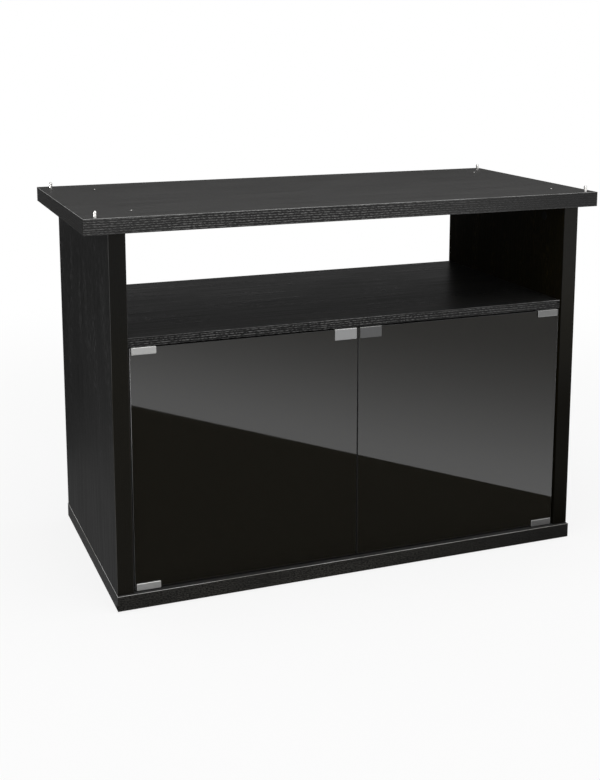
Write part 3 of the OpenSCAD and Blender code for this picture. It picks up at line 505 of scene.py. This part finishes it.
hardboard, start = new_finish("black hardboard")
x, _, z = split(start)
fibres = noise(x, z, FIBRE_SIZE, 4.0, 0.7)
cloud = noise(x, z, HARDBOARD_CLOUD_SIZE, 2.0, layer=4.0)
show(hardboard, principled(start, grey(0.012 + 0.01 * fibres + 0.004 * cloud, 0.05),
                           0.55 + 0.2 * fibres, fibres, 0.0001, specular_ior_level=0.4))
dress(hardboard, "back_panel")


def mixed(start, factor, first, second, blend="MIX"):
    """Two colours blended by a factor."""
    return start.make("Mix", {"data_type": "RGBA", "blend_type": blend},
                      {0: factor, 6: first, 7: second}, out=2)


def edge_wear(start, radius):
    """0 on the flats to 1 along sharp edges, from how far a rounded edge would turn the surface."""
    rounded = start.make("Bevel", {"samples": WEAR_SAMPLES}, {"Radius": radius})
    facing = start.make("NewGeometry", out="Normal")
    likeness = start.make("VectorMath", {"operation": "DOT_PRODUCT"}, {0: rounded, 1: facing}, out="Value")
    return (1 - likeness).spread(WEAR_FROM, WEAR_FULL)


def metal(name, colour, roughness, grain, wear_and_highlight_to=None, metallic=1.0, rubbed_and_highlit=0.0):
    """A metal with fine marks sized per axis in metres, bright edge wear, and a painted arris highlight."""
    finish, start = new_finish(name)
    place = place_of(start)
    stretched = start.make("VectorMath", {"operation": "MULTIPLY"},
                           {0: place, 1: tuple(1 / size for size in grain)})
    marks = start.make("TexNoise", sockets={"Vector": stretched, "Scale": 1.0, "Detail": 3.0})
    cloud = start.make("TexNoise", sockets={"Vector": place, "Scale": 120.0, "Detail": 2.0})
    # Bright edges: the sharp ones wear, and the rounded ones take a painted highlight as far as asked.
    wear_and_highlight = edge_wear(start, METAL_WEAR_RADIUS).most(arris(start) * rubbed_and_highlit)
    dull = mixed(start, 1.0, (*colour, 1), grey(0.82 + 0.24 * marks + 0.12 * cloud), "MULTIPLY")
    bright = wear_and_highlight_to or [min(1, part * WORN_BRIGHTER) for part in colour]
    show(finish, principled(
        start, mixed(start, wear_and_highlight * 0.7, dull, (*bright, 1)),
        roughness + 0.16 * (marks - 0.5) + 0.1 * (cloud - 0.5) - 0.1 * wear_and_highlight,
        marks, METAL_RELIEF, metallic=metallic))
    return finish


dress(metal("blackened screw", (0.04, 0.04, 0.04), 0.42, EVEN_GRAIN, wear_and_highlight_to=(0.25, 0.24, 0.22)),
      "back_panel_screws")


# ---- The fittings in the boards ----
# Cams of cast zinc and plated bolts draw the boards together, beech dowels keep them in line, and
# plain black caps cover the cams. Plated pins carry the inner shelf.
CAST_GRAIN, PLATED_GRAIN = (0.0012, 0.0012, 0.0012), (0.0006, 0.0006, 0.002)
PLASTIC_WEAR_RADIUS, PLASTIC_RELIEF = 0.0003, 0.00005
RING_SIZE, FLECK_SIZE = (0.03, 0.0012), (0.004, 0.0005)
PALE_BEECH, DARK_BEECH = (0.62, 0.44, 0.26, 1), (0.45, 0.28, 0.15, 1)

dress(metal("cast zinc", (0.45, 0.45, 0.44), 0.48, CAST_GRAIN), "cam_locks")
plated = metal("nickel plating", (0.6, 0.59, 0.56), 0.28, PLATED_GRAIN)
dress(plated, "cam_bolts", "shelf_pins")


def moulded(name, level, roughness, pimple, sheen=0.5):
    """Moulded plastic with a fine eroded texture, and edges that wear paler."""
    finish, start = new_finish(name)
    place = place_of(start)
    skin = start.make("TexNoise", sockets={"Vector": place, "Scale": 1 / pimple, "Detail": 2.0})
    cloud = start.make("TexNoise", sockets={"Vector": place, "Scale": 60.0, "Detail": 3.0})
    wear_and_highlight = edge_wear(start, PLASTIC_WEAR_RADIUS)
    tone = level * (0.85 + 0.3 * cloud + 0.8 * wear_and_highlight)
    show(finish, principled(start, grey(tone), roughness + 0.15 * (cloud - 0.5) - 0.1 * wear_and_highlight,
                            skin, PLASTIC_RELIEF, specular_ior_level=sheen))
    return finish


dress(moulded("black cap plastic", level=0.006, roughness=0.7, pimple=0.0005, sheen=0.15), "cam_caps")

beech, start = new_finish("beech")
x, y, z = split(start)
rings = noise(z + x, y, RING_SIZE, 3.0, 0.6)
flecks = noise(z + x, y, FLECK_SIZE, 1.0, 0.5, layer=5.0).spread(0.55, 0.7)
wood = mixed(start, (rings * 0.8 + flecks * 0.3).least(1.0), PALE_BEECH, DARK_BEECH)
show(beech, principled(start, wood, 0.6 + 0.2 * rings, rings, 0.0001, specular_ior_level=0.4))
dress(beech, "dowels")


# ---- The floor glides ----
# Six round pads of grey moulded plastic, nailed under the base. They keep it off the floor, and let
# the cabinet slide when it is moved.
grey_plastic = moulded("grey moulded plastic", level=0.06, roughness=0.5, pimple=0.0004)
dress(grey_plastic, "floor_glides")


# ---- The locating pins and the spare sockets ----
# Four bright turned pins stand on the top at its corners. Each is screwed into a plated insert that is
# pressed in flush with the top, and four spare inserts beside them stay open.
PIN_GRAIN = (0.0012, 0.0012, 0.0002)
SPARE_X, SPARE_Y = (-0.400, 0.446), (-0.154, 0.158)
FLANGE_RADIUS, FLANGE, FLANGE_EDGE = 0.0038, 0.0006, 0.00015
MOUTH_RADIUS, BORE_RADIUS = 0.0025, 0.0017
BODY_RADIUS, BARB, BARBS, BARB_CREST = 0.0031, 0.0003, 5, 0.85
THREAD_PITCH, THREAD_DEPTH, THREAD_ROWS = 0.0007, 0.0003, 6
INSERT_SIDES = 32
SMOOTH_UNDER = radians(35)

dress(metal("bright turned pin", (0.78, 0.77, 0.75), 0.2, PIN_GRAIN), "locating_pins")


def made_piece(name, solid, finish=None):
    """An object of its own from a solid, smooth over its rounded edges."""
    mesh = bpy.data.meshes.new(name)
    solid.to_mesh(mesh)
    solid.free()
    mesh.shade_smooth()
    mesh.set_sharp_from_angle(angle=SMOOTH_UNDER)
    if finish:
        mesh.materials.append(finish)
    return placed(name, mesh)


def thread_radius(height, angle):
    """The bore's radius at a height and an angle: a sharp groove that winds down it."""
    turn = (height / THREAD_PITCH - angle / (2 * pi)) % 1
    return BORE_RADIUS + THREAD_DEPTH * (1 - abs(2 * turn - 1))


def insert_outline(foot):
    """The insert's rings, each a radius and a height below the top's face. A threaded one has no radius."""
    barb_pitch = (-FLANGE - foot) / BARBS
    rings = []
    for i in range(BARBS):
        rings += [(BODY_RADIUS - BARB, foot + i * barb_pitch),
                  (BODY_RADIUS, foot + (i + BARB_CREST) * barb_pitch)]
    mouth_depth = MOUTH_RADIUS - BORE_RADIUS
    rings += [(BODY_RADIUS - BARB, -FLANGE), (FLANGE_RADIUS - FLANGE_EDGE, -FLANGE),
              (FLANGE_RADIUS, FLANGE_EDGE - FLANGE), (FLANGE_RADIUS, -FLANGE_EDGE),
              (FLANGE_RADIUS - FLANGE_EDGE, 0), (MOUTH_RADIUS, 0), (BORE_RADIUS, -mouth_depth)]
    rows = int((-mouth_depth - foot) / THREAD_PITCH * THREAD_ROWS)
    rings += [(None, -mouth_depth - i * THREAD_PITCH / THREAD_ROWS) for i in range(1, rows)]
    return rings + [(BORE_RADIUS, foot)]


def turned_inserts(finish):
    """All eight inserts: a barbed body, a flange with a countersunk mouth and a threaded bore."""
    low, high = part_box("threaded_inserts")
    rings = insert_outline(low.z - high.z)
    places = [(x, y) for x in (low.x + FLANGE_RADIUS, high.x - FLANGE_RADIUS)
              for y in (low.y + FLANGE_RADIUS, high.y - FLANGE_RADIUS)]
    places += [(x, y) for x in SPARE_X for y in SPARE_Y]
    angles = [2 * pi * side / INSERT_SIDES for side in range(INSERT_SIDES)]
    solid = bmesh.new()
    for x, y in places:
        loops = []
        for radius, height in rings:
            loop = []
            for angle in angles:
                reach = thread_radius(height, angle) if radius is None else radius
                loop.append(solid.verts.new((x + reach * cos(angle), y + reach * sin(angle),
                                             high.z + height)))
            loops.append(loop)
        for i in range(len(loops)):
            here, after = loops[i - 1], loops[i]
            for side in range(INSERT_SIDES):
                solid.faces.new((here[side - 1], here[side], after[side], after[side - 1]))
    bmesh.ops.recalc_face_normals(solid, faces=solid.faces)
    inserts = made_piece("turned_inserts", solid, finish)
    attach(inserts, "cabinet")
    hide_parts("threaded_inserts")


turned_inserts(metal("insert plating", (0.5, 0.49, 0.48), 0.26, EVEN_GRAIN, metallic=0.9))


# ---- The glass doors ----
# Sheets of black glass, polished on their faces and ground along their edges, which show as a thin
# grey line. The outer ground edges carry a painted highlight that fades out lower down.
WIPE_SIZE, WIPE_SLANT = (0.09, 0.016), 0.4
OUTER_EDGES, HIGHLIGHT_FADE_HEIGHTS = (0.4, 0.42), (0.2, 0.37)
GLASS_TONE, WIPED_TONE, GROUND_TONE, OUTER_FROST_AND_HIGHLIGHT = 0.0106, 0.0012, 0.003, 0.8
GLASS_WARMTH = 0.24

black_glass, start = new_finish("black glass")
x, _, z = split(start)
wiped = noise(x + z * WIPE_SLANT, z - x * WIPE_SLANT, WIPE_SIZE, 3.0, 0.6)
facing = start.make("SeparateXYZ", sockets={0: start.make("TexCoord", out="Normal")})
ground = arris(start).most(1 - abs(facing.other("Y")).spread(0.3, 0.6))
# Pale ground edges: partly frosting, partly a painted highlight on the outer ones that fades lower down.
outer = abs(x).spread(*OUTER_EDGES, 0.05, OUTER_FROST_AND_HIGHLIGHT)
frost_and_highlight = outer * z.spread(*HIGHLIGHT_FADE_HEIGHTS, 0.2, 1.0) * abs(facing).spread(0.3, 0.6)
tone = GLASS_TONE + WIPED_TONE * wiped + (GROUND_TONE + frost_and_highlight) * ground
show(black_glass, principled(
    start, grey(tone, GLASS_WARMTH * (1 - ground)), 0.012 + 0.02 * wiped + 0.6 * ground,
    wiped, 0.000002, ior=1.5, alpha=0.96))
black_glass.surface_render_method = "DITHERED"
dress(black_glass, "left_glass_door", "right_glass_door")


# ---- The door clips, their pads, screws and pivots ----
# Each door hangs in two clips of cast satin metal, slotted for the glass, lined with rubber and pinched
# by small screws from behind. A steel pin in each clip turns in a plastic bush.
BRUSHED_GRAIN, GROUND_GRAIN = (0.006, 0.0005, 0.0003), (0.001, 0.001, 0.0002)
CLIP_HEIGHT = 0.013
CLIP_CORNER, CORNER_STEPS = 0.0015, 6
CLIP_BORDER, BORDER_STEPS = 0.0011, 5
CAST_EDGE, CAST_STEPS = 0.0002, 2
SHARP_OVER, SAME_WITHIN = radians(40), 1e-6
SCREW_RADIUS, SCREW_HOLE_INSET, SCREW_HOLE_LENGTH = 0.002, 0.002, 0.012
ROOT_RADIUS, ROOT_DEPTH, DRILL_OVERRUN = 0.0016, 0.0061, 0.001
HOLE_ROOM, HOLE_SIDES = 0.00005, 40


def pulled_out(outline, left, right):
    """A closed outline in depth and height, pulled out across the width."""
    solid = bmesh.new()
    ends = [[solid.verts.new((x, y, z)) for y, z in outline] for x in (left, right)]
    for end in ends:
        solid.faces.new(end)
    for i in range(len(outline)):
        j = (i + 1) % len(outline)
        solid.faces.new((ends[0][i], ends[0][j], ends[1][j], ends[1][i]))
    bmesh.ops.recalc_face_normals(solid, faces=solid.faces)
    return solid


def alike(*numbers):
    """Whether numbers are the same but for their last digits."""
    return max(numbers) - min(numbers) < SAME_WITHIN


def rounded(solid, radius, steps, chosen):
    """Rounds the edges that a rule on their two ends and their angle chooses."""
    edges = [edge for edge in solid.edges
             if chosen(edge.verts[0].co, edge.verts[1].co, edge.calc_face_angle(0))]
    bmesh.ops.bevel(solid, geom=edges, offset=radius, offset_type="OFFSET", segments=steps,
                    profile=0.5, affect="EDGES", clamp_overlap=True)


def drilled(solid, holes):
    """The solid less round holes, each a start, a way and a radius."""
    block = made_piece("block", solid)
    rods = []
    for start, way, radius in holes:
        rod = bmesh.new()
        turn = way.to_track_quat("Z", "Y").to_matrix().to_4x4()
        bmesh.ops.create_cone(rod, cap_ends=True, segments=HOLE_SIDES, radius1=radius, radius2=radius,
                              depth=way.length, matrix=Matrix.Translation(start + way / 2) @ turn)
        rods.append(made_piece("rod", rod))
        cut = block.modifiers.new("hole", "BOOLEAN")
        cut.object, cut.operation, cut.solver = rods[-1], "DIFFERENCE", "MANIFOLD"
    bpy.context.view_layer.update()
    done = bmesh.new()
    done.from_object(block, bpy.context.evaluated_depsgraph_get())
    for gone in (block, *rods):
        bpy.data.objects.remove(gone)
    return done


def even_light(piece):
    """Lets the flat faces keep their light beside the rounded edges."""
    piece.modifiers.new("even light", "WEIGHTED_NORMAL").keep_sharp = True


def door_clips(side, finish):
    """Both clips of a door. They are cast alike, and the upper one is the lower one's mirror image."""
    node = side + "_hinge_clips"
    low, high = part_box(node)
    pads, screws, pins = (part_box(side + end) for end in ("_clip_pads", "_clamp_screws", "_pivot_pins"))
    seat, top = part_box(side + "_glass_door")[0].z, low.z + CLIP_HEIGHT
    solid = pulled_out([(low.y, low.z), (high.y, low.z), (high.y, top), (pads[1].y, top), (pads[1].y, seat),
                        (pads[0].y, seat), (pads[0].y, top), (low.y, top)], low.x, high.x)
    rounded(solid, CLIP_CORNER, CORNER_STEPS, lambda a, b, turn: alike(a.x, b.x) and alike(a.z, b.z)
            and (alike(a.z, low.z) or alike(a.z, top)))
    rounded(solid, CLIP_BORDER, BORDER_STEPS, lambda a, b, turn: alike(a.y, b.y, low.y))
    rounded(solid, CAST_EDGE, CAST_STEPS, lambda a, b, turn: turn > SHARP_OVER)
    screw_y, screw_z = pads[1].y - SCREW_HOLE_INSET, screws[0].z + SCREW_RADIUS
    holes = [(Vector((x, screw_y, screw_z)), Vector((0, SCREW_HOLE_LENGTH, 0)), SCREW_RADIUS + HOLE_ROOM)
             for x in (screws[0].x + SCREW_RADIUS, screws[1].x - SCREW_RADIUS)]
    pin = (pins[0] + pins[1]) / 2
    holes.append((Vector((pin.x, pin.y, low.z - DRILL_OVERRUN)),
                  Vector((0, 0, ROOT_DEPTH + DRILL_OVERRUN)), ROOT_RADIUS + HOLE_ROOM))
    solid = drilled(solid, holes)
    copy = bmesh.ops.duplicate(solid, geom=solid.verts[:] + solid.edges[:] + solid.faces[:])["geom"]
    for vert in (part for part in copy if isinstance(part, bmesh.types.BMVert)):
        vert.co.z = low.z + high.z - vert.co.z
    bmesh.ops.reverse_faces(solid, faces=[part for part in copy if isinstance(part, bmesh.types.BMFace)])
    clips = made_piece(side + "_cast_clips", solid, finish)
    even_light(clips)
    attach(clips, side + "_door")
    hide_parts(node)


# One clip metal in two copies: the left clips lit, the right in painted shade; both with painted
# highlights.
door_clips("left", metal("satin clip", (0.44, 0.44, 0.43), 0.42, BRUSHED_GRAIN,
                         wear_and_highlight_to=(0.95, 0.95, 0.93), metallic=0.4, rubbed_and_highlit=1.0))
door_clips("right", metal("satin clip in painted shade", (0.18, 0.18, 0.177), 0.42, BRUSHED_GRAIN,
                          wear_and_highlight_to=(0.6, 0.6, 0.59), metallic=0.6, rubbed_and_highlit=1.0))

rubber, start = new_finish("black rubber")
skin = start.make("TexNoise", sockets={"Vector": place_of(start), "Scale": 900.0, "Detail": 3.0})
show(rubber, principled(start, grey(0.014 + 0.012 * skin), 0.75 + 0.15 * skin, skin, 0.00008,
                        specular_ior_level=0.3))
dress(rubber, "left_clip_pads", "right_clip_pads")
dress(metal("dark steel screw", (0.13, 0.13, 0.13), 0.36, EVEN_GRAIN, wear_and_highlight_to=(0.4, 0.39, 0.37)),
      "left_clamp_screws", "right_clamp_screws")
dress(metal("ground steel pin", (0.52, 0.52, 0.51), 0.25, GROUND_GRAIN),
      "left_pivot_pins", "right_pivot_pins")
dress(grey_plastic, "hinge_bushes")


# ---- The strike plates ----
# A plate of satin sheet steel is folded over each door's upper inner corner and stuck on with a thin
# liner. The latch's magnet meets its back.
ROLLED_GRAIN = (0.005, 0.0005, 0.0003)
SHEET, BEND, BEND_STEPS = 0.001, 0.0014, 8
SHEET_CORNER, SHEET_CORNER_STEPS = 0.0015, 6
SHEARED_EDGE, SHEARED_STEPS = 0.0004, 3


def bend(y, z, radius, first):
    """A quarter turn of a fold, in depth and height."""
    turns = [first - i * pi / 2 / BEND_STEPS for i in range(BEND_STEPS + 1)]
    return [(y + radius * cos(turn), z + radius * sin(turn)) for turn in turns]


def folded_plate(side, finish):
    """A plate over the glass's upper edge, with a leg down the front and one down the back."""
    node = side + "_strike_plate"
    low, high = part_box(node)
    front, rear, fold_z = low.y + BEND, high.y - BEND, high.z - BEND
    outside = bend(front, fold_z, BEND, pi) + bend(rear, fold_z, BEND, pi / 2)
    inside = bend(front, fold_z, BEND - SHEET, pi) + bend(rear, fold_z, BEND - SHEET, pi / 2)
    solid = pulled_out([(low.y, low.z)] + outside + [(high.y, low.z), (high.y - SHEET, low.z)]
                       + inside[::-1] + [(low.y + SHEET, low.z)], low.x, high.x)
    rounded(solid, SHEET_CORNER, SHEET_CORNER_STEPS,
            lambda a, b, turn: alike(a.x, b.x) and alike(a.z, b.z, low.z))
    rounded(solid, SHEARED_EDGE, SHEARED_STEPS, lambda a, b, turn: turn > SHARP_OVER)
    plate = made_piece(side + "_folded_plate", solid, finish)
    even_light(plate)
    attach(plate, side + "_door")
    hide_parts(node)


# One plate metal in two copies: the left plate lit, the right in painted shade; both with painted
# highlights.
folded_plate("left", metal("satin strike plate", (0.28, 0.28, 0.28), 0.4, ROLLED_GRAIN,
                           wear_and_highlight_to=(0.85, 0.85, 0.84), metallic=0.6, rubbed_and_highlit=1.0))
folded_plate("right", metal("strike plate in painted shade", (0.094, 0.094, 0.094), 0.4, ROLLED_GRAIN,
                            wear_and_highlight_to=(0.42, 0.42, 0.41), metallic=0.6, rubbed_and_highlit=1.0))
dress(rubber, "left_strike_liners", "right_strike_liners")


# ---- The push latch ----
# A black moulded housing, screwed under the upper shelf, holds two sprung plungers, each with a round
# magnet in its tip. A push on a door lets it spring open.
COIL_RADIUS, WIRE_RADIUS, TURNS = 0.0036, 0.0004, 6.0
FLAT_TURNS, FLAT_LIFT = 0.8, 0.9
TURN_STEPS, WIRE_SIDES = 28, 8

dress(moulded("black moulded plastic", level=0.014, roughness=0.42, pimple=0.0005),
      "latch_housing", "left_latch_plunger", "right_latch_plunger")
dress(plated, "latch_screws")
dress(metal("magnet plating", (0.42, 0.41, 0.4), 0.3, EVEN_GRAIN),
      "left_latch_magnet", "right_latch_magnet")
spring_steel = metal("spring steel", (0.5, 0.5, 0.48), 0.3, EVEN_GRAIN)


def coil_height(turn, front, rear):
    """Where along the spring the wire's middle is: an end turn lies flat and is lifted off the next."""
    all_turns = TURNS + 2
    rise = min(max((turn - FLAT_TURNS) / (all_turns - 2 * FLAT_TURNS), 0), 1)
    lift = min(turn, FLAT_TURNS, all_turns - turn) * WIRE_RADIUS * FLAT_LIFT
    if turn >= all_turns - FLAT_TURNS:
        lift = -lift
    elif turn >= 1:
        lift = FLAT_TURNS * WIRE_RADIUS * FLAT_LIFT * (1 - 2 * rise)
    return front + (rear - front) * rise + lift


def coil_spring(name, body, node):
    """A round wire wound into a spring whose end turns lie flat, along the plunger's way."""
    low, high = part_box(node)
    middle = (low + high) / 2
    points, faces = [], []
    for i in range(int((TURNS + 2) * TURN_STEPS) + 1):
        turn = i / TURN_STEPS
        angle = 2 * pi * turn
        y = coil_height(turn, low.y + WIRE_RADIUS, high.y - WIRE_RADIUS)
        for side in range(WIRE_SIDES):
            around = 2 * pi * side / WIRE_SIDES
            radius = COIL_RADIUS + WIRE_RADIUS * cos(around)
            points.append((middle.x + radius * cos(angle), y + WIRE_RADIUS * sin(around),
                           middle.z + radius * sin(angle)))
        if i:
            a, b = (i - 1) * WIRE_SIDES, i * WIRE_SIDES
            for side in range(WIRE_SIDES):
                after = (side + 1) % WIRE_SIDES
                faces.append((a + side, a + after, b + after, b + side))
    faces += [tuple(reversed(range(WIRE_SIDES))), tuple(range(len(points) - WIRE_SIDES, len(points)))]
    mesh = bpy.data.meshes.new(name)
    mesh.from_pydata(points, [], faces)
    mesh.shade_smooth()
    mesh.materials.append(spring_steel)
    spring = placed(name, mesh)
    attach(spring, body)
    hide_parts(node)
    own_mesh(spring)


coil_spring("left_coil_spring", "cabinet", "left_latch_spring")
coil_spring("right_coil_spring", "cabinet", "right_latch_spring")
